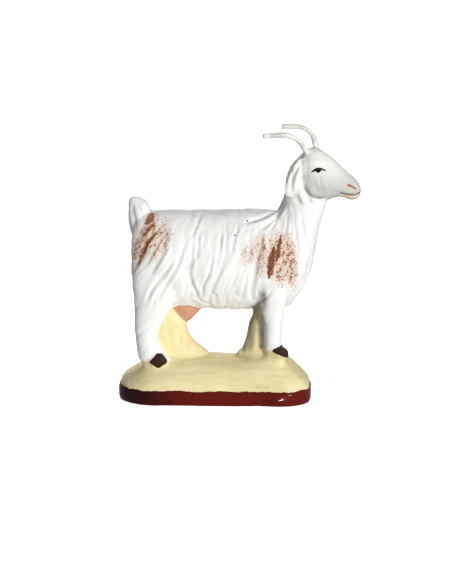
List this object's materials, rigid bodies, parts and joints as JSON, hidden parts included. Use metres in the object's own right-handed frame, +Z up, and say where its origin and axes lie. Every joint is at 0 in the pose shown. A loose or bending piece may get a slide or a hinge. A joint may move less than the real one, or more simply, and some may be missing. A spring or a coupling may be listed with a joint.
{
  "type": "crib goat figurine",
  "caption": "Standing painted clay goat on a mound of ground with a flat base, bent wire horns, hanging ears and a raised tail.",
  "frame": {"origin": "centre of the flat underside of the base", "axes": "+Z up, +X the way the goat faces, +Y to the goat's left"},
  "size_m": [0.0557, 0.0204, 0.0633],
  "materials": {
    "coat_white": "matt white paint on fired clay, brown dry-brushed patches",
    "face_white": "matt off-white paint with painted eyes, nostrils and mouth",
    "ground_cream": "matt cream paint, brushed",
    "rim_red": "glossy dark red varnish",
    "hoof_brown": "satin dark brown paint",
    "udder_pink": "matt pink paint",
    "horn_white": "wire under thick white paint"
  },
  "bodies": {
    "root": {"base_slab": "rim_red", "fore_web": "ground_cream", "ground_mound": "ground_cream", "head": "face_white", "hind_web": "ground_cream", "left_ear": "coat_white", "left_fore_hoof": "hoof_brown", "left_fore_leg": "coat_white", "left_hind_hoof": "hoof_brown", "left_hind_leg": "coat_white", "left_horn": "horn_white", "right_ear": "coat_white", "right_fore_hoof": "hoof_brown", "right_fore_leg": "coat_white", "right_hind_hoof": "hoof_brown", "right_hind_leg": "coat_white", "right_horn": "horn_white", "tail": "coat_white", "torso": "coat_white", "udder": "udder_pink"}
  },
  "joints": []
}
